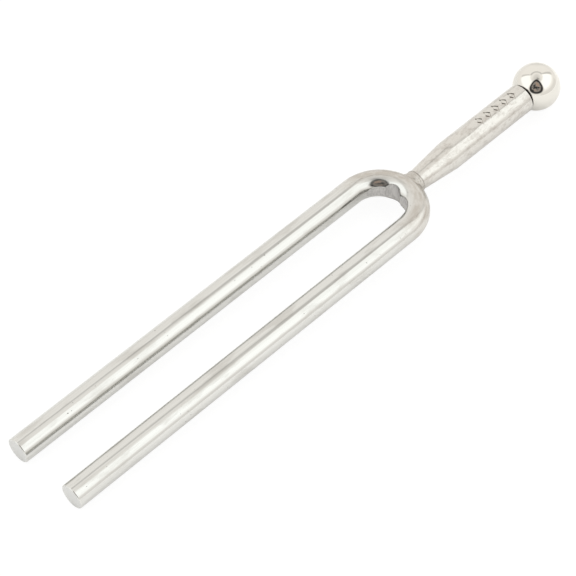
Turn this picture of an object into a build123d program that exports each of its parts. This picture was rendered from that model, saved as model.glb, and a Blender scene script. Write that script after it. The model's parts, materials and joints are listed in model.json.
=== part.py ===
from build123d import *
import math
import os

os.makedirs("parts", exist_ok=True)

# A pitch fork lying flat: the tines point along -X, the ball foot is at +X, and the fork's mid-plane is
# z = 0. The origin is the ball's outermost point, on the axis of the stem. Millimetres.

# The bar: both tines and the crown between them.
bar_radius = 2.5
tine_spacing = 14.2  # between the tines' centre lines
tine_length = 83.0  # from the tips to where the bend starts
crown_radius = 2.62  # the bar's section where it is thickest, at the stem
tip_rounding = 0.2

# The inside of the crown is filed upright to bring the note down to pitch, in three round passes. Each has
# a centre, measured from the bend's own centre, and a radius.
left_pass = ((0.77, 0.75), 3.77)
middle_pass = ((3.38, 0.45), 2.02)
right_pass = ((1.30, -1.75), 3.25)

# The stem.
neck_radius = 2.13
grip_radius = 3.0
taper_length = 8.7
stem_reach = 30.63  # from the outside of the crown to the end under the ball
taper_blend = 14.0  # radius that softens the corner between taper and grip
end_break = 0.2
tenon_radius = 1.5
braze_gap = 0.02

# The brazed collar round the neck.
collar_radius = 2.27
collar_height = 0.7
collar_fillet = 0.8
collar_lip = 0.09

# The ball and its stud.
ball_radius = 25.4 * 3 / 8 / 2
ball_seat_radius = 2.25
seat_gap = 0.05
stud_radius = 1.5
thread_pitch = 0.5
thread_depth = 0.3
stud_in_stem = 5.2
stud_in_ball = 4.8
hole_clearance = 0.05
hole_spare_depth = 0.4
mouth_break = 0.15

# The punch marks along the top of the stem, where such forks carry their stamp: outlines of diamonds.
mark_count = 5
mark_spacing = 2.3
mark_length = 1.5
mark_width = 2.3
mark_inner_share = 0.56  # of the outer diamond, left standing inside the outline
mark_depth = 0.16
mark_middle_from_end = 7.8

# Places that follow from the sizes.
ball_x = -ball_radius
ball_seat_x = ball_x - math.sqrt(ball_radius**2 - ball_seat_radius**2)
stem_end_x = ball_seat_x - seat_gap
crown_outer_x = stem_end_x - stem_reach
bend_radius = tine_spacing / 2
bend_x = crown_outer_x - bar_radius - bend_radius
shoulder_x = crown_outer_x - crown_radius + math.sqrt(crown_radius**2 - neck_radius**2)
collar_end_x = crown_outer_x + collar_height
taper_end_x = collar_end_x + taper_length

# What the file takes away.
with BuildPart() as filed_away:
    with BuildSketch(Plane(origin=(bend_x, 0, 0))):
        for centre, radius in (left_pass, middle_pass, right_pass):
            with Locations(centre):
                Circle(radius)
    extrude(amount=2 * crown_radius, both=True)

# The bar: the bend is a half ring whose section grows smoothly inwards, towards the stem.
with BuildPart() as tine_bar:
    with BuildLine():
        CenterArc((bend_x, 0), bend_radius, -90, 180)
    station_count = 9
    for station in range(station_count):
        turn = math.pi * (station / (station_count - 1) - 0.5)
        outward = (math.cos(turn), math.sin(turn), 0)
        along = (-math.sin(turn), math.cos(turn), 0)
        centre = (bend_x + bend_radius * outward[0], bend_radius * outward[1], 0)
        section_radius = bar_radius + (crown_radius - bar_radius) * math.cos(turn) ** 2
        with BuildSketch(Plane(origin=centre, x_dir=outward, z_dir=along)):
            with Locations((bar_radius - section_radius, 0)):
                Circle(section_radius)
    sweep(multisection=True)
    with BuildSketch(Plane(origin=(bend_x, 0, 0), x_dir=(0, 1, 0), z_dir=(-1, 0, 0))):
        with Locations((-bend_radius, 0), (bend_radius, 0)):
            Circle(bar_radius)
    extrude(amount=tine_length)
    tip_edges = tine_bar.edges().filter_by(GeomType.CIRCLE).group_by(Axis.X)[0]
    fillet(tip_edges, radius=tip_rounding)

    # The collar of brazing metal, blended into the crown.
    before_collar = tine_bar.edges()
    with BuildSketch(Plane.YZ.offset(crown_outer_x - crown_radius)):
        Circle(collar_radius)
    extrude(amount=crown_radius + collar_height)
    collar_edges = (tine_bar.edges() - before_collar).sort_by(Axis.X)
    fillet(collar_edges[:-1], radius=collar_fillet)
    collar_rim = tine_bar.edges().filter_by(GeomType.CIRCLE).sort_by(Axis.X)[-1]
    fillet(collar_rim, radius=collar_lip)

    # The hole for the tenon, with a counterbore for the stem's shoulder.
    with BuildSketch(Plane.YZ.offset(shoulder_x)):
        Circle(neck_radius + braze_gap)
    extrude(amount=2 * crown_radius, mode=Mode.SUBTRACT)
    with BuildSketch(Plane.YZ.offset(bend_x)):
        Circle(tenon_radius + braze_gap)
    extrude(amount=2 * crown_radius + bend_radius, mode=Mode.SUBTRACT)
    add(filed_away.part, mode=Mode.SUBTRACT)
tine_bar.part.label = "tine_bar"

# The punches for the marks, hollowed underneath so that all of each outline goes in to the same depth.
with BuildPart() as punches:
    with BuildSketch(Plane(origin=(stem_end_x - mark_middle_from_end, 0, 0))):
        with GridLocations(mark_spacing, 0, mark_count, 1):
            corners = [
                (-mark_length / 2, 0),
                (0, mark_width / 2),
                (mark_length / 2, 0),
                (0, -mark_width / 2),
            ]
            Polygon(*corners)
            Polygon(*[(x * mark_inner_share, y * mark_inner_share) for x, y in corners], mode=Mode.SUBTRACT)
    extrude(amount=2 * grip_radius)
    with BuildSketch(Plane.YZ.offset(collar_end_x)):
        Circle(grip_radius - mark_depth)
    extrude(amount=stem_reach, mode=Mode.SUBTRACT)

# The stem: a turned shape, whose tenon is filed flush with the inside of the crown.
with BuildPart() as stem:
    with BuildSketch(Plane.XY):
        with BuildLine():
            Polyline(
                (bend_x, 0),
                (bend_x, tenon_radius),
                (shoulder_x, tenon_radius),
                (shoulder_x, neck_radius),
                (collar_end_x, neck_radius),
                (taper_end_x, grip_radius),
                (stem_end_x, grip_radius),
                (stem_end_x, 0),
                close=True,
            )
        make_face()
        grip_corner = vertices().sort_by_distance((taper_end_x, grip_radius))[0]
        fillet(grip_corner, radius=taper_blend)
        end_corner = vertices().sort_by_distance((stem_end_x, grip_radius))[0]
        chamfer(end_corner, length=end_break)
    revolve(axis=Axis.X)

    add(filed_away.part, mode=Mode.SUBTRACT)
    add(punches.part, mode=Mode.SUBTRACT)

    # The drilled hole for the ball's stud.
    with BuildSketch(Plane.YZ.offset(stem_end_x)):
        Circle(stud_radius + hole_clearance)
    extrude(amount=-(stud_in_stem + hole_spare_depth), mode=Mode.SUBTRACT)
    stem_mouth = stem.edges().filter_by(GeomType.CIRCLE).group_by(Axis.X)[-1].sort_by(SortBy.RADIUS)[0]
    chamfer(stem_mouth, length=mouth_break)
stem.part.label = "stem"

# The ball, with its small flat seat and the blind hole for the stud.
with BuildPart() as foot_ball:
    with BuildSketch(Plane.XY):
        with BuildLine():
            seat_height = ball_x - ball_seat_x
            arc_middle_angle = math.atan2(ball_seat_radius, -seat_height) / 2
            arc_middle = (
                ball_x + ball_radius * math.cos(arc_middle_angle),
                ball_radius * math.sin(arc_middle_angle),
            )
            ThreePointArc((0, 0), arc_middle, (ball_seat_x, ball_seat_radius))
            Line((ball_seat_x, ball_seat_radius), (ball_seat_x, 0))
            Line((ball_seat_x, 0), (0, 0))
        make_face()
    revolve(axis=Axis.X)
    with BuildSketch(Plane.YZ.offset(ball_seat_x)):
        Circle(stud_radius + hole_clearance)
    extrude(amount=stud_in_ball + hole_spare_depth, mode=Mode.SUBTRACT)
    ball_mouth = foot_ball.edges().filter_by(GeomType.CIRCLE).group_by(Axis.X)[0].sort_by(SortBy.RADIUS)[0]
    chamfer(ball_mouth, length=mouth_break)
foot_ball.part.label = "foot_ball"

# The stud: a turned pin whose ring grooves stand for its thread.
with BuildPart() as ball_stud:
    stud_start_x = stem_end_x - stud_in_stem
    stud_length = stud_in_stem + seat_gap + stud_in_ball
    with BuildSketch(Plane.YZ.offset(stud_start_x)):
        Circle(stud_radius)
    extrude(amount=stud_length)
    stud_ends = ball_stud.edges().filter_by(GeomType.CIRCLE)
    chamfer(stud_ends, length=thread_depth)
    groove_count = int((stud_length - 2 * thread_depth) / thread_pitch) - 1
    with BuildSketch(Plane.XY):
        for groove in range(groove_count):
            groove_x = stud_start_x + thread_depth + (groove + 1) * thread_pitch
            with BuildLine():
                Polyline(
                    (groove_x - thread_pitch * 0.45, stud_radius + 0.05 * thread_pitch),
                    (groove_x + thread_pitch * 0.45, stud_radius + 0.05 * thread_pitch),
                    (groove_x, stud_radius - thread_depth),
                    close=True,
                )
            make_face()
    revolve(axis=Axis.X, mode=Mode.SUBTRACT)
ball_stud.part.label = "ball_stud"

for piece in (tine_bar, stem, foot_ball, ball_stud):
    export_step(piece.part, f"parts/{piece.part.label}.step")
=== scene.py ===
import json
import math
from collections import namedtuple
from types import SimpleNamespace

import bpy
from mathutils import Matrix, Vector


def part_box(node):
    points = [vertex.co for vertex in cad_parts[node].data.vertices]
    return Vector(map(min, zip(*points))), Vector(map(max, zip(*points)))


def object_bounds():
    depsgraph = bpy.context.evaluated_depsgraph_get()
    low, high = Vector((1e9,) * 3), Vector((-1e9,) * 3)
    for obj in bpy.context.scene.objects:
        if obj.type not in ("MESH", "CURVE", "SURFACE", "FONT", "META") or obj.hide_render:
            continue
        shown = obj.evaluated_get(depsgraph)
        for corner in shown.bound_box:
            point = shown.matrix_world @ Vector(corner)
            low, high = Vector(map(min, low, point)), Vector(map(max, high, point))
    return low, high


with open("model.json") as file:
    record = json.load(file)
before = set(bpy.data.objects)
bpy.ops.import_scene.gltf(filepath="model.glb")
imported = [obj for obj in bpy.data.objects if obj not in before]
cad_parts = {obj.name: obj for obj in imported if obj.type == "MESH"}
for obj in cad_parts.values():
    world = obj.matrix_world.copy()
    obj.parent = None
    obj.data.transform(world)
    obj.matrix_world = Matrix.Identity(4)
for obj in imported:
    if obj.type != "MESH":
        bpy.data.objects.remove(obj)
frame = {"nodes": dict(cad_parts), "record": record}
cad_low, cad_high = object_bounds()

MM = 0.001
MICRON = 0.001 * MM

# ---------------------------------------------------------------------------------------------------
# Places, all worked out from the frame.

nodes = frame["nodes"]
mounts = {mount["name"]: mount for mount in frame["record"]["mounts"]}
bar_low, bar_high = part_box("tine_bar")
ball_low, ball_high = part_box("foot_ball")

tine_mount = mounts["left_tine"]
TINE_Y = tine_mount["pos_m"][1]
BAR_RADIUS = tine_mount["dims"]["r_mm"] * MM
CROWN_THICKER = bar_high.z - BAR_RADIUS
TIP_X = bar_low.x
BEND_X = 2 * tine_mount["pos_m"][0] - TIP_X
CROWN_X = BEND_X + TINE_Y + BAR_RADIUS
COLLAR_END_X = bar_high.x
STEM_END_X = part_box("stem")[1].x
BALL_RADIUS = ball_high.z
BALL_X = ball_high.x - BALL_RADIUS
BALL_SEAT_X = ball_low.x
OBJECT_CENTRE = (cad_low + cad_high) / 2

# ---------------------------------------------------------------------------------------------------
# A small helper for writing node graphs as sums. Here and below, a pair of numbers says where a share
# starts to change and where it has changed.

# Cosines of the angle between another normal and the mesh's own, from differing to agreeing.
EXACT_AGREES_WITH_MESH = (0.975, 0.988)
ROUNDED_AGREES_WITH_MESH = (0.955, 0.993)


class Graph:
    """A node tree, with one method per kind of node. Sockets and plain numbers can be mixed freely."""

    def __init__(self, tree):
        self.tree = tree
        tree.nodes.clear()

    def node(self, kind, **settings):
        made = self.tree.nodes.new(kind)
        for key, value in settings.items():
            setattr(made, key, value)
        return made

    def feed(self, socket, value):
        if isinstance(value, bpy.types.NodeSocket):
            self.tree.links.new(value, socket)
        elif value is not None:
            socket.default_value = value

    def feed_all(self, sockets, values):
        for socket, value in zip(sockets, values):
            self.feed(socket, value)

    def feed_colour(self, socket, colour):
        """Feeds a colour, which is a socket or a tuple of red, green and blue."""
        self.feed(socket, (*colour, 1.0) if isinstance(colour, tuple) else colour)

    def math(self, operation, first, second=None, third=None):
        made = self.node("ShaderNodeMath", operation=operation)
        self.feed_all(made.inputs, (first, second, third))
        return made.outputs[0]

    def add(self, first, second):
        return self.math("ADD", first, second)

    def subtract(self, first, second):
        return self.math("SUBTRACT", first, second)

    def multiply(self, first, *others):
        for other in others:
            first = self.math("MULTIPLY", first, other)
        return first

    def divide(self, first, second):
        return self.math("DIVIDE", first, second)

    def weighted(self, *terms):
        """The sum of value times weight, over pairs of the two."""
        total = 0.0
        for value, weight in terms:
            total = self.math("MULTIPLY_ADD", value, weight, total)
        return total

    def length(self, first, second):
        """The length of a vector that has these two components."""
        return self.math("SQRT", self.add(self.multiply(first, first), self.multiply(second, second)))

    def rise(self, value, start, end):
        """0 below start, 1 above end, and smooth between them."""
        made = self.node("ShaderNodeMapRange", interpolation_type="SMOOTHSTEP")
        self.feed_all(made.inputs, (value, start, end, 0.0, 1.0))
        return made.outputs[0]

    def fall(self, value, start, end):
        return self.subtract(1.0, self.rise(value, start, end))

    def between(self, value, low, high, soft):
        rises = self.rise(value, low - soft, low + soft)
        falls = self.fall(value, high - soft, high + soft)
        return self.multiply(rises, falls)

    def mix(self, share, first, second):
        made = self.node("ShaderNodeMix", data_type="FLOAT")
        self.feed_all((made.inputs[0], made.inputs[2], made.inputs[3]), (share, first, second))
        return made.outputs[0]

    def mix_vector(self, share, first, second):
        made = self.node("ShaderNodeMix", data_type="VECTOR")
        self.feed_all((made.inputs[0], made.inputs[4], made.inputs[5]), (share, first, second))
        return made.outputs[1]

    def mix_colour(self, share, first, second):
        made = self.node("ShaderNodeMix", data_type="RGBA")
        self.feed(made.inputs[0], share)
        self.feed_colour(made.inputs[6], first)
        self.feed_colour(made.inputs[7], second)
        return made.outputs[2]

    def place(self):
        """The point in the shared frame, in metres."""
        return self.node("ShaderNodeTexCoord").outputs["Object"]

    def axes(self, vector):
        made = self.node("ShaderNodeSeparateXYZ")
        self.feed(made.inputs[0], vector)
        return made.outputs[0], made.outputs[1], made.outputs[2]

    def vector(self, x, y, z):
        made = self.node("ShaderNodeCombineXYZ")
        self.feed_all(made.inputs, (x, y, z))
        return made.outputs[0]

    def noise(self, vector, wavelength, detail=3.0, roughness=0.55):
        """Cloudy noise from 0 to 1, about 0.5. A wavelength of three numbers stretches it."""
        spans = wavelength if isinstance(wavelength, tuple) else (wavelength,) * 3
        mapping = self.node("ShaderNodeMapping")
        self.feed(mapping.inputs["Vector"], vector)
        mapping.inputs["Scale"].default_value = [1.0 / span for span in spans]
        made = self.node("ShaderNodeTexNoise")
        self.feed(made.inputs["Vector"], mapping.outputs[0])
        made.inputs["Scale"].default_value = 1.0
        made.inputs["Detail"].default_value = detail
        made.inputs["Roughness"].default_value = roughness
        return made.outputs[0]

    def alike(self, first, second):
        """The cosine of the angle between two unit vectors."""
        made = self.node("ShaderNodeVectorMath", operation="DOT_PRODUCT")
        self.feed_all(made.inputs, (first, second))
        return made.outputs["Value"]

    def mesh_normal(self):
        return self.node("ShaderNodeNewGeometry").outputs["Normal"]

    def true_normal(self, outwards):
        """The exact surface's unit normal where the mesh's own agrees with it, and elsewhere the mesh's."""
        unit = self.node("ShaderNodeVectorMath", operation="NORMALIZE")
        self.feed(unit.inputs[0], outwards)
        turned = self.node("ShaderNodeVectorTransform", vector_type="NORMAL")
        turned.convert_from = "OBJECT"
        turned.convert_to = "WORLD"
        self.feed(turned.inputs[0], unit.outputs[0])
        exact = turned.outputs[0]
        agrees = self.rise(self.alike(exact, self.mesh_normal()), *EXACT_AGREES_WITH_MESH)
        return self.mix_vector(agrees, self.mesh_normal(), exact)

    def sharp_edge(self, reach):
        """1 along a sharp edge of the mesh, out to about reach from it, and 0 elsewhere."""
        bevel = self.node("ShaderNodeBevel", samples=6)
        bevel.inputs["Radius"].default_value = reach
        return self.fall(self.alike(bevel.outputs[0], self.mesh_normal()), *ROUNDED_AGREES_WITH_MESH)

    def bump(self, height, normal=None):
        """A height in metres as a change of the normal."""
        made = self.node("ShaderNodeBump")
        made.inputs["Strength"].default_value = 1.0
        made.inputs["Distance"].default_value = 1.0
        self.feed(made.inputs["Height"], height)
        self.feed(made.inputs["Normal"], normal)
        return made.outputs["Normal"]

    def metal(self, colour, roughness, normal):
        made = self.node("ShaderNodeBsdfPrincipled")
        made.inputs["Metallic"].default_value = 1.0
        self.feed_colour(made.inputs["Base Color"], colour)
        self.feed(made.inputs["Roughness"], roughness)
        self.feed(made.inputs["Normal"], normal)
        return made.outputs[0]

    def diffuse(self, colour):
        made = self.node("ShaderNodeBsdfDiffuse")
        self.feed_colour(made.inputs["Color"], colour)
        return made.outputs[0]

    def emission(self, strength):
        made = self.node("ShaderNodeEmission")
        self.feed(made.inputs["Strength"], strength)
        return made.outputs[0]

    def background(self, colour, strength):
        made = self.node("ShaderNodeBackground")
        self.feed_colour(made.inputs["Color"], colour)
        self.feed(made.inputs["Strength"], strength)
        return made.outputs[0]

    def add_shader(self, first, second):
        made = self.node("ShaderNodeAddShader")
        self.feed_all(made.inputs, (first, second))
        return made.outputs[0]

    def mix_shader(self, share, first, second):
        made = self.node("ShaderNodeMixShader")
        self.feed_all(made.inputs, (share, first, second))
        return made.outputs[0]

    def seen_directly(self):
        """1 for what the camera sees itself, and 0 for what it sees in a reflection or what only lights."""
        return self.node("ShaderNodeLightPath").outputs["Is Camera Ray"]

    def set_surface(self, shader, output="ShaderNodeOutputMaterial"):
        self.feed(self.node(output).inputs["Surface"], shader)


def new_material(name):
    made = bpy.data.materials.new(name)
    made.use_nodes = True
    return made, Graph(made.node_tree)


def dress(node_name, material):
    """Gives a CAD node its finished material."""
    mesh = nodes[node_name].data
    mesh.materials.clear()
    mesh.materials.append(material)
    for polygon in mesh.polygons:
        polygon.material_index = 0


# ---------------------------------------------------------------------------------------------------
# The metals' colours.

NICKEL = (0.572, 0.567, 0.543)
NICKEL_CLEAN = (0.608, 0.604, 0.582)
NICKEL_DULL = (0.515, 0.506, 0.480)
BEND_NICKEL = (0.570, 0.552, 0.520)
BEND_TAUPE = (0.455, 0.426, 0.388)
STEM_NICKEL = (0.588, 0.570, 0.536)
STEM_TAUPE = (0.475, 0.448, 0.415)
FILED_STEEL = (0.560, 0.545, 0.532)
FILED_DARK = (0.440, 0.430, 0.418)
CUT_END = (0.625, 0.625, 0.614)
BALL_NICKEL = (0.660, 0.640, 0.596)
# A dark for real pits in the plate, for painted shade in the gap at the ball, and for a painted dark
# reflection along the filed hollow.
PIT_DARK_AND_PAINTED_SHADE = (0.050, 0.040, 0.034)
STUD_STEEL = (0.400, 0.390, 0.370)

# ---------------------------------------------------------------------------------------------------
# The bar.

# Where it is filed, where the bending dulled its skin, along an edge that wanders, and where it is
# brazed and cut.
FILED_BELOW_SKIN = (0.03 * MM, 0.05 * MM)
FILED_PAST_BEND = (0.0, 0.1 * MM)
FILED_OUTWARDS = (-0.4 * BAR_RADIUS, 0.0)
BENT_X = (BEND_X - 5 * MM, BEND_X + 2.5 * MM)
BENT_WANDER = 7 * MM
BENT_WANDER_WAVELENGTH = 3.0 * MM
OUTER_SIDE = (-0.58 * BAR_RADIUS, 0.02 * BAR_RADIUS)
BRAZE_START_X = CROWN_X - 0.9 * MM
BRAZE_END_X = COLLAR_END_X + 0.3 * MM
BRAZE_SOFT = 0.35 * MM
BRAZE_STAIN = 0.7
CUT_END_X = (TIP_X + 0.005 * MM, TIP_X + 0.02 * MM)

# A painted dark reflection lies along the sharp edges of the filed hollow, apart from its far side and the
# tenon.
DARK_REFLECTION_REACH = 0.32 * MM
DARK_REFLECTION_PAST_BEND = (1.0 * MM, 2.0 * MM)
DARK_REFLECTION_Y = (1.6 * MM, 2.6 * MM)
DARK_REFLECTION_FROM_TENON_AXIS = (1.75 * MM, 1.85 * MM)

# Wavelengths along the bar, outwards from its centre line and up.
LINES = (60 * MM, 0.42 * MM, 0.42 * MM)
BROAD_LINES = (38 * MM, 1.3 * MM, 1.3 * MM)
CLOUDS = (8 * MM, 2.0 * MM, 2.0 * MM)
BEND_SKIN = (1.5 * MM, 0.55 * MM, 0.55 * MM)
BEND_WAVES = (3.4 * MM, 1.5 * MM, 1.5 * MM)

# Wavelengths in the shared frame. The file's strokes are upright.
BRAZE_RIPPLE = 0.38 * MM
GRAIN = 0.10 * MM
PITS = 0.36 * MM
FILE_MARKS = (0.30 * MM, 0.30 * MM, 0.9 * MM)

# How far each texture stands proud at its highest.
LINES_HEIGHT = 1.6 * MICRON
BROAD_LINES_HEIGHT = 7 * MICRON
CLOUDS_HEIGHT = 16 * MICRON
BEND_SKIN_HEIGHT = 10 * MICRON
BEND_WAVES_HEIGHT = 50 * MICRON
BRAZE_RIPPLE_HEIGHT = 220 * MICRON
FILE_MARKS_HEIGHT = 16 * MICRON
GRAIN_HEIGHT = 6 * MICRON

# Roughness, from a texture's low parts to its high parts.
DRAWN_ROUGHNESS = (0.05, 0.11)
WORN_ROUGHNESS = (0.14, 0.30)
BEND_ADDS_ROUGHNESS = 0.08
FILED_ROUGHNESS = 0.32
CUT_END_ROUGHNESS = 0.55

# The levels of a texture, from 0 to 1, at which its colour changes.
CLEAN_LINES = (0.35, 0.65)
DULL_CLOUDS = (0.50, 0.68)
BRIGHT_PATCHES = (0.38, 0.62)
BRIGHT_FILE_MARKS = (0.38, 0.62)
DARK_PITS = (0.855, 0.875)
WAVES_IN_PATCHES = 0.6


def bar_coordinates(graph):
    """The point in bar coordinates, the exact normal there, and how far it lies below the round skin."""
    place = graph.place()
    x, y, z = graph.axes(place)
    past_bend = graph.math("MAXIMUM", graph.subtract(x, BEND_X), 0.0)
    before_bend = graph.math("MAXIMUM", graph.subtract(BEND_X, x), 0.0)
    turned = graph.multiply(graph.math("ARCTAN2", y, past_bend), TINE_Y)
    along = graph.add(turned, graph.multiply(graph.math("SIGN", y), before_bend))
    from_bend_centre = graph.length(past_bend, y)
    outwards = graph.subtract(from_bend_centre, TINE_Y)

    # The crown grows thicker inwards, so the middle of its section moves in as well.
    facing_stem = graph.divide(past_bend, from_bend_centre)
    thicker = graph.multiply(facing_stem, facing_stem, CROWN_THICKER)
    core_outwards = graph.add(outwards, thicker)
    core_share = graph.divide(core_outwards, from_bend_centre)
    from_core = graph.vector(graph.multiply(past_bend, core_share), graph.multiply(y, core_share), z)
    skin_radius = graph.add(thicker, BAR_RADIUS)
    return SimpleNamespace(
        place=place,
        x=x,
        y=y,
        z=z,
        past_bend=past_bend,
        outwards=outwards,
        bar_place=graph.vector(along, outwards, z),
        normal=graph.true_normal(from_core),
        below_skin=graph.subtract(skin_radius, graph.length(core_outwards, z)),
    )


def bar_regions(graph, bar):
    """The share, from 0 to 1, that each part of the bar's surface has in a point."""
    filed = graph.multiply(
        graph.rise(bar.below_skin, *FILED_BELOW_SKIN),
        graph.rise(bar.past_bend, *FILED_PAST_BEND),
        graph.fall(bar.outwards, *FILED_OUTWARDS),
    )
    wander = graph.subtract(graph.noise(bar.place, BENT_WANDER_WAVELENGTH), 0.5)
    bent = graph.rise(graph.add(bar.x, graph.multiply(wander, BENT_WANDER)), *BENT_X)
    # A painted dark reflection along the sharp edges of the filed hollow.
    painted_dark_reflection = graph.multiply(
        graph.sharp_edge(DARK_REFLECTION_REACH),
        graph.rise(bar.past_bend, *DARK_REFLECTION_PAST_BEND),
        graph.fall(bar.y, *DARK_REFLECTION_Y),
        graph.rise(graph.length(bar.y, bar.z), *DARK_REFLECTION_FROM_TENON_AXIS),
    )
    return SimpleNamespace(
        filed=filed,
        bent=bent,
        worn=graph.multiply(bent, graph.rise(bar.outwards, *OUTER_SIDE)),
        brazed=graph.between(bar.x, BRAZE_START_X, BRAZE_END_X, BRAZE_SOFT),
        cut_end=graph.fall(bar.x, *CUT_END_X),
        painted_dark_reflection=painted_dark_reflection,
    )


def bar_textures(graph, bar):
    return SimpleNamespace(
        lines=graph.noise(bar.bar_place, LINES),
        broad_lines=graph.noise(bar.bar_place, BROAD_LINES, detail=2.0),
        clouds=graph.noise(bar.bar_place, CLOUDS, detail=4.0),
        skin=graph.noise(bar.bar_place, BEND_SKIN, roughness=0.5),
        waves=graph.noise(bar.bar_place, BEND_WAVES, detail=2.0),
        ripple=graph.noise(bar.place, BRAZE_RIPPLE, detail=1.0),
        grain=graph.noise(bar.place, GRAIN, detail=2.0),
        pits=graph.noise(bar.place, PITS, detail=0.0),
        file_marks=graph.noise(bar.place, FILE_MARKS),
    )


def bar_height(graph, region, texture):
    drawn = graph.weighted(
        (texture.lines, LINES_HEIGHT),
        (texture.broad_lines, BROAD_LINES_HEIGHT),
        (texture.clouds, CLOUDS_HEIGHT),
    )
    worn = graph.weighted((texture.skin, BEND_SKIN_HEIGHT), (texture.waves, BEND_WAVES_HEIGHT))
    bare = graph.math("MAXIMUM", region.cut_end, region.filed)
    return graph.weighted(
        (graph.mix(region.worn, drawn, worn), 1.0),
        (graph.multiply(texture.ripple, region.brazed), BRAZE_RIPPLE_HEIGHT),
        (graph.multiply(texture.file_marks, region.filed), FILE_MARKS_HEIGHT),
        (graph.multiply(texture.grain, bare), GRAIN_HEIGHT),
    )


def bar_roughness(graph, region, texture):
    drawn = graph.mix(texture.lines, *DRAWN_ROUGHNESS)
    drawn = graph.add(drawn, graph.multiply(region.bent, BEND_ADDS_ROUGHNESS))
    worn = graph.mix(texture.skin, *WORN_ROUGHNESS)
    roughness = graph.mix(region.worn, drawn, worn)
    roughness = graph.mix(region.filed, roughness, FILED_ROUGHNESS)
    return graph.mix(region.cut_end, roughness, CUT_END_ROUGHNESS)


def bar_colour(graph, region, texture):
    drawn = graph.mix_colour(graph.rise(texture.lines, *CLEAN_LINES), NICKEL, NICKEL_CLEAN)
    drawn = graph.mix_colour(graph.rise(texture.clouds, *DULL_CLOUDS), drawn, NICKEL_DULL)
    patches = graph.mix(WAVES_IN_PATCHES, texture.skin, texture.waves)
    worn = graph.mix_colour(graph.rise(patches, *BRIGHT_PATCHES), BEND_TAUPE, BEND_NICKEL)
    filed = graph.mix_colour(graph.rise(texture.file_marks, *BRIGHT_FILE_MARKS), FILED_DARK, FILED_STEEL)
    colour = graph.mix_colour(region.worn, drawn, worn)
    colour = graph.mix_colour(graph.multiply(region.brazed, BRAZE_STAIN), colour, BEND_TAUPE)
    colour = graph.mix_colour(graph.rise(texture.pits, *DARK_PITS), colour, PIT_DARK_AND_PAINTED_SHADE)
    colour = graph.mix_colour(region.filed, colour, filed)
    # Paints the dark reflection along the filed hollow's edges.
    colour = graph.mix_colour(region.painted_dark_reflection, colour, PIT_DARK_AND_PAINTED_SHADE)
    return graph.mix_colour(region.cut_end, colour, CUT_END)


def bar_material():
    """Nickel plate on drawn bar: fine lines along it, a duller skin where it was bent, and filed steel."""
    material, graph = new_material("bar_plating")
    bar = bar_coordinates(graph)
    region = bar_regions(graph, bar)
    texture = bar_textures(graph, bar)
    normal = graph.bump(bar_height(graph, region, texture), bar.normal)
    colour = bar_colour(graph, region, texture)
    graph.set_surface(graph.metal(colour, bar_roughness(graph, region, texture), normal))
    return material


# ---------------------------------------------------------------------------------------------------
# The stem, the ball and the stud. Wavelengths are along X, Y and Z, or the same in every direction.
# Roughness is from a texture's low parts to its high parts again.

STEM_SKIN = (0.9 * MM, 0.55 * MM, 0.55 * MM)
STEM_SKIN_HEIGHT = 8 * MICRON
STEM_WAVES = (3.6 * MM, 1.7 * MM, 1.7 * MM)
STEM_WAVES_HEIGHT = 38 * MICRON
STEM_MOTTLES = (2.6 * MM, 1.3 * MM, 1.3 * MM)
BRIGHT_MOTTLES = (0.34, 0.56)
MOTTLES_IN_PATCHES = 0.5
SCRATCHES = (2.2 * MM, 0.16 * MM, 0.16 * MM)
SCRATCHES_DEPTH = 4 * MICRON
SCRATCHED = (0.60, 0.70)
STEM_ROUGHNESS = (0.06, 0.17)
TENON_END_X = (CROWN_X - BAR_RADIUS, CROWN_X - 0.5 * BAR_RADIUS)
# Where the painted shade in the gap by the ball lies on the stem, and its roughness.
STEM_GAP_SHADE_X = (STEM_END_X - 0.06 * MM, STEM_END_X - 0.01 * MM)
STEM_GAP_SHADE_ROUGHNESS = 0.7

BALL_HAZE = 1.1 * MM
HAZY = (0.45, 0.75)
BALL_ROUGHNESS = (0.03, 0.09)
BALL_WAVES = 2.8 * MM
BALL_WAVES_HEIGHT = 5 * MICRON
# Where the painted shade round the ball's seat lies, and its roughness.
BALL_SEAT_SHADE_X = (BALL_SEAT_X + 0.20 * MM, BALL_SEAT_X + 0.34 * MM)
BALL_SEAT_SHADE_ROUGHNESS = 0.6

TURNED_RINGS = (0.11 * MM, 16 * MM, 16 * MM)
TURNED_RINGS_HEIGHT = 3 * MICRON
STUD_ROUGHNESS = (0.24, 0.39)


def stem_material():
    """Nickel plate over a linished stem: soft mottles, short scratches along it, and painted shade by the
    ball.
    """
    material, graph = new_material("stem_plating")
    place = graph.place()
    x = graph.axes(place)[0]
    skin = graph.noise(place, STEM_SKIN, roughness=0.6)
    waves = graph.noise(place, STEM_WAVES, detail=1.0)
    mottles = graph.noise(place, STEM_MOTTLES, detail=2.0)
    scratches = graph.rise(graph.noise(place, SCRATCHES, detail=1.0), *SCRATCHED)
    tenon_end = graph.fall(x, *TENON_END_X)
    painted_gap_shade = graph.rise(x, *STEM_GAP_SHADE_X)

    patches = graph.mix(MOTTLES_IN_PATCHES, skin, mottles)
    colour = graph.mix_colour(graph.rise(patches, *BRIGHT_MOTTLES), STEM_TAUPE, STEM_NICKEL)
    colour = graph.mix_colour(tenon_end, colour, FILED_STEEL)
    # Painted shade in the gap at the stem's end, by the ball.
    colour = graph.mix_colour(painted_gap_shade, colour, PIT_DARK_AND_PAINTED_SHADE)
    roughness = graph.mix(tenon_end, graph.mix(skin, *STEM_ROUGHNESS), FILED_ROUGHNESS)
    roughness = graph.mix(painted_gap_shade, roughness, STEM_GAP_SHADE_ROUGHNESS)
    height = graph.weighted(
        (skin, STEM_SKIN_HEIGHT),
        (waves, STEM_WAVES_HEIGHT),
        (scratches, -SCRATCHES_DEPTH),
    )
    graph.set_surface(graph.metal(colour, roughness, graph.bump(height)))
    return material


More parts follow.
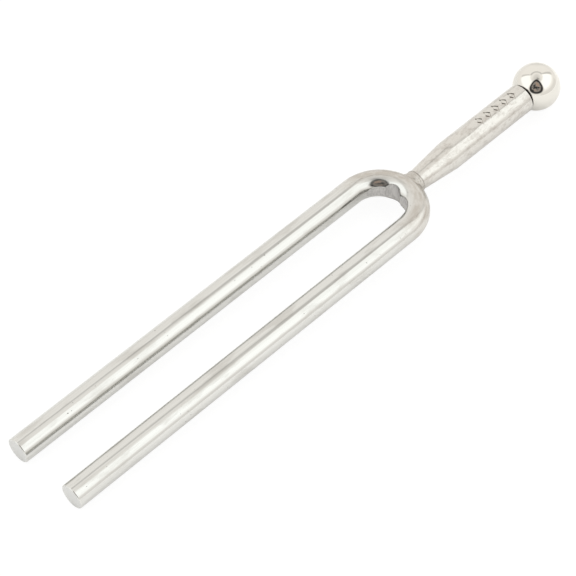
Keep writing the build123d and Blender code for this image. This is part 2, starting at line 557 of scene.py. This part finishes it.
def ball_material():
    """A polished, plated bearing ball with the faintest handling marks, and painted shade round its seat."""
    material, graph = new_material("ball_plating")
    place = graph.place()
    x, y, z = graph.axes(place)
    haze = graph.rise(graph.noise(place, BALL_HAZE, detail=4.0), *HAZY)
    waves = graph.noise(place, BALL_WAVES, detail=1.0)
    painted_gap_shade = graph.fall(x, *BALL_SEAT_SHADE_X)

    # Painted shade round the ball's seat on the stem.
    colour = graph.mix_colour(painted_gap_shade, BALL_NICKEL, PIT_DARK_AND_PAINTED_SHADE)
    roughness = graph.mix(painted_gap_shade, graph.mix(haze, *BALL_ROUGHNESS), BALL_SEAT_SHADE_ROUGHNESS)
    from_centre = graph.vector(graph.subtract(x, BALL_X), y, z)
    normal = graph.bump(graph.multiply(waves, BALL_WAVES_HEIGHT), graph.true_normal(from_centre))
    graph.set_surface(graph.metal(colour, roughness, normal))
    return material


def stud_material():
    """Plain turned steel, darker than the plate."""
    material, graph = new_material("stud_steel")
    rings = graph.noise(graph.place(), TURNED_RINGS)
    colour = graph.mix_colour(rings, STUD_STEEL, FILED_STEEL)
    normal = graph.bump(graph.multiply(rings, TURNED_RINGS_HEIGHT))
    graph.set_surface(graph.metal(colour, graph.mix(rings, *STUD_ROUGHNESS), normal))
    return material


dress("tine_bar", bar_material())
dress("stem", stem_material())
dress("foot_ball", ball_material())
dress("ball_stud", stud_material())

# ---------------------------------------------------------------------------------------------------
# The studio: a white tent whose bright panels, low walls and seams show in the metal, and the dark
# opening that the camera looks through. Directions are degrees round from +X towards +Y, and degrees
# above the floor. A patch's sides are as soft as its high edge.

Patch = namedtuple("Patch", "middle half_width low low_soft high high_soft brightness")

TENT = 1.25
TENT_TOP = 1.12
TENT_TOP_ABOVE = (70.0, 80.0)
TENT_COLOUR = (1.0, 0.982, 0.950)
PANEL_COLOUR = (0.985, 1.0, 0.99)
PANELS = (
    Patch(middle=-55.0, half_width=42.0, low=21.0, low_soft=9.0, high=63.8, high_soft=4.0, brightness=1.65),
    Patch(middle=142.0, half_width=34.0, low=18.0, low_soft=6.0, high=62.0, high_soft=5.0, brightness=1.60),
)
LOW_WALLS = (
    Patch(middle=-70.0, half_width=50.0, low=-60.0, low_soft=5.0, high=12.0, high_soft=4.0, brightness=1.10),
    Patch(middle=65.0, half_width=75.0, low=-60.0, low_soft=5.0, high=14.0, high_soft=12.0, brightness=1.18),
)
SEAMS = (
    Patch(middle=48.0, half_width=56.0, low=59.5, low_soft=2.0, high=66.8, high_soft=2.0, brightness=0.84),
    Patch(middle=-7.0, half_width=5.0, low=16.0, low_soft=4.0, high=60.0, high_soft=3.5, brightness=0.85),
    Patch(middle=103.0, half_width=4.0, low=20.0, low_soft=4.0, high=60.0, high_soft=3.5, brightness=0.92),
    Patch(middle=-112.0, half_width=30.0, low=74.0, low_soft=5.0, high=86.0, high_soft=5.0, brightness=0.70),
)

# The opening is an oval that narrows towards its top. Its half sizes are sines of the angle from its
# middle. Sines are the same on the tent's other side, which a pair of cosines leaves out.
OPENING_AROUND = math.radians(-140.0)
OPENING_ABOVE = math.radians(43.0)
OPENING_HALF_WIDTH = 0.50
OPENING_HALF_HEIGHT = 0.56
OPENING_NARROWING = 0.30
OPENING_SIDE_OF_TENT = (0.2, 0.3)

# Distances from its middle, in shares of its half sizes.
OPENING_EDGE = (0.93, 1.10)
OPENING_MIDDLE_EDGE = (0.50, 0.85)
OPENING_SHADE_OUT = (1.0, 1.8)
OPENING_SHADE_OVER = (0.3, 1.1)

OPENING_SHADE = 0.20
OPENING_RIM = 0.05
OPENING_MIDDLE = (0.50, 0.370, 0.295)
CLUTTER = 0.24
CLUTTERED = (0.36, 0.60)

BACKDROP = (1.0, 1.0, 1.0)
SEEN_WHITE = 1.3


def patch_share(graph, around, above, patch):
    """1 inside a patch of the tent and 0 outside it, with soft edges."""
    turned = graph.add(graph.subtract(around, patch.middle), 540.0)
    from_middle = graph.math("ABSOLUTE", graph.subtract(graph.math("MODULO", turned, 360.0), 180.0))
    return graph.multiply(
        graph.fall(from_middle, patch.half_width - patch.high_soft, patch.half_width + patch.high_soft),
        graph.rise(above, patch.low - patch.low_soft, patch.low + patch.low_soft),
        graph.fall(above, patch.high - patch.high_soft, patch.high + patch.high_soft),
    )


def add_opening(graph, direction, colour, light):
    """Sets the dark opening into the tent, with the wall shaded over it and some clutter inside it."""
    towards = Vector((
        math.cos(OPENING_AROUND) * math.cos(OPENING_ABOVE),
        math.sin(OPENING_AROUND) * math.cos(OPENING_ABOVE),
        math.sin(OPENING_ABOVE),
    ))
    sideways = Vector((-math.sin(OPENING_AROUND), math.cos(OPENING_AROUND), 0.0))
    upwards = towards.cross(sideways)
    over = graph.alike(direction, upwards)
    half_width = graph.subtract(OPENING_HALF_WIDTH, graph.multiply(over, OPENING_NARROWING))
    across = graph.divide(graph.alike(direction, sideways), half_width)
    over = graph.divide(over, OPENING_HALF_HEIGHT)
    out = graph.length(across, over)

    shade = graph.multiply(
        graph.fall(out, *OPENING_SHADE_OUT),
        graph.rise(over, *OPENING_SHADE_OVER),
        OPENING_SHADE,
    )
    on_this_side = graph.rise(graph.alike(direction, towards), *OPENING_SIDE_OF_TENT)
    opening = graph.multiply(graph.fall(out, *OPENING_EDGE), on_this_side)
    clutter = graph.rise(graph.noise(direction, CLUTTER, detail=1.0), *CLUTTERED)
    middle = graph.multiply(graph.fall(out, *OPENING_MIDDLE_EDGE), clutter)
    light = graph.multiply(light, graph.subtract(1.0, shade))
    light = graph.mix(opening, light, graph.mix(middle, OPENING_RIM, 1.0))
    colour = graph.mix_colour(graph.multiply(opening, middle), colour, OPENING_MIDDLE)
    return colour, light


def studio_world():
    """The tent is what the metal reflects. The camera itself sees plain white behind the floor."""
    world = bpy.data.worlds.new("studio")
    world.use_nodes = True
    bpy.context.scene.world = world
    graph = Graph(world.node_tree)
    direction = graph.node("ShaderNodeTexCoord").outputs["Generated"]
    x, y, z = graph.axes(direction)
    above = graph.math("DEGREES", graph.math("ARCSINE", z))
    around = graph.math("DEGREES", graph.math("ARCTAN2", y, x))

    colour = TENT_COLOUR
    light = graph.mix(graph.rise(above, *TENT_TOP_ABOVE), TENT, TENT_TOP)
    for panel in PANELS:
        share = patch_share(graph, around, above, panel)
        colour = graph.mix_colour(share, colour, PANEL_COLOUR)
        light = graph.mix(share, light, panel.brightness)
    for patch in LOW_WALLS + SEAMS:
        light = graph.mix(patch_share(graph, around, above, patch), light, patch.brightness)
    colour, light = add_opening(graph, direction, colour, light)

    tent = graph.background(colour, light)
    backdrop = graph.background(BACKDROP, SEEN_WHITE)
    graph.set_surface(graph.mix_shader(graph.seen_directly(), tent, backdrop), "ShaderNodeOutputWorld")


studio_world()

# ---------------------------------------------------------------------------------------------------
# The floor: it touches the ball and the tips of the tines, as the fork lies on a table. The camera sees
# it nearly burnt out, as the tent's own white, with the last of the shadow left in.

FLOOR_RADIUS = 0.20
FLOOR_CORNERS = 128
FLOOR_PAPER = (0.70, 0.70, 0.695)
FLOOR_GLOW_NEAR = 0.555
FLOOR_GLOW_FAR = 0.40
FLOOR_GLOW_FALLS_Y = (TINE_Y, TINE_Y + 4 * BAR_RADIUS)
FLOOR_SHADE_REACH = 8 * MM
FLOOR_SHADE = 0.60
FLOOR_SEEN_LIGHT = 0.90
FLOOR_SEEN_PAPER = (0.14, 0.14, 0.14)


def floor_material():
    """Glowing paper in the metal, darker under the fork, and white in the camera's own view."""
    material, graph = new_material("floor_paper")
    open_sky = graph.node("ShaderNodeAmbientOcclusion", samples=8)
    graph.feed(open_sky.inputs["Distance"], FLOOR_SHADE_REACH)
    shade = graph.mix(open_sky.outputs["AO"], 1.0 - FLOOR_SHADE, 1.0)
    y = graph.axes(graph.place())[1]
    glow = graph.mix(graph.rise(y, *FLOOR_GLOW_FALLS_Y), FLOOR_GLOW_NEAR, FLOOR_GLOW_FAR)
    lit_paper = graph.add_shader(graph.diffuse(FLOOR_PAPER), graph.emission(graph.multiply(shade, glow)))
    burnt_out = graph.add_shader(graph.emission(FLOOR_SEEN_LIGHT), graph.diffuse(FLOOR_SEEN_PAPER))
    top = graph.mix_shader(graph.seen_directly(), lit_paper, burnt_out)

    # From below the floor can be seen through, so that it doesn't hide the underside of the fork.
    below = graph.node("ShaderNodeNewGeometry").outputs["Backfacing"]
    clear = graph.node("ShaderNodeBsdfTransparent").outputs[0]
    graph.set_surface(graph.mix_shader(below, top, clear))
    return material


def floor():
    contact_run = BALL_X - TIP_X
    slope = math.asin((BALL_RADIUS - BAR_RADIUS) / contact_run)
    centre = Vector((OBJECT_CENTRE.x, 0.0, 0.0))
    drop = BALL_RADIUS / math.cos(slope) - (BALL_X - centre.x) * math.tan(slope)
    bpy.ops.mesh.primitive_circle_add(vertices=FLOOR_CORNERS, radius=FLOOR_RADIUS, fill_type="NGON")
    made = bpy.context.object
    made.name = "floor"
    made.matrix_world = Matrix.Translation(centre - Vector((0, 0, drop))) @ Matrix.Rotation(slope, 4, "Y")
    made.data.materials.append(floor_material())


floor()

# ---------------------------------------------------------------------------------------------------
# The camera. It stands degrees round from -Y towards +X, and degrees above the fork's mid-plane, and the
# roll turns it about its line of sight.

CAMERA_AROUND = math.radians(-41.1)
CAMERA_ABOVE = math.radians(49.5)
CAMERA_ROLL = math.radians(-4.73)
CAMERA_DISTANCE = 0.4152
CAMERA_LENS = 142.2
CAMERA_CLIP_START = 0.01
CAMERA_CLIP_END = 10.0
AIM_FROM_CENTRE = Vector((-8.14 * MM, -1.03 * MM, 0.0))


def camera():
    back = Vector((
        math.sin(CAMERA_AROUND) * math.cos(CAMERA_ABOVE),
        -math.cos(CAMERA_AROUND) * math.cos(CAMERA_ABOVE),
        math.sin(CAMERA_ABOVE),
    ))
    level = Vector((math.cos(CAMERA_AROUND), math.sin(CAMERA_AROUND), 0.0))
    upright = back.cross(level)
    right = level * math.cos(CAMERA_ROLL) + upright * math.sin(CAMERA_ROLL)
    up = back.cross(right)
    aim = Vector((OBJECT_CENTRE.x, 0.0, 0.0)) + AIM_FROM_CENTRE
    data = bpy.data.cameras.new("camera")
    data.lens = CAMERA_LENS
    data.clip_start = CAMERA_CLIP_START
    data.clip_end = CAMERA_CLIP_END
    made = bpy.data.objects.new("camera", data)
    bpy.context.scene.collection.objects.link(made)
    turned = Matrix((right, up, back)).transposed().to_4x4()
    made.matrix_world = Matrix.Translation(aim + back * CAMERA_DISTANCE) @ turned
    bpy.context.scene.camera = made


camera()
bpy.context.scene.view_settings.view_transform = "Standard"
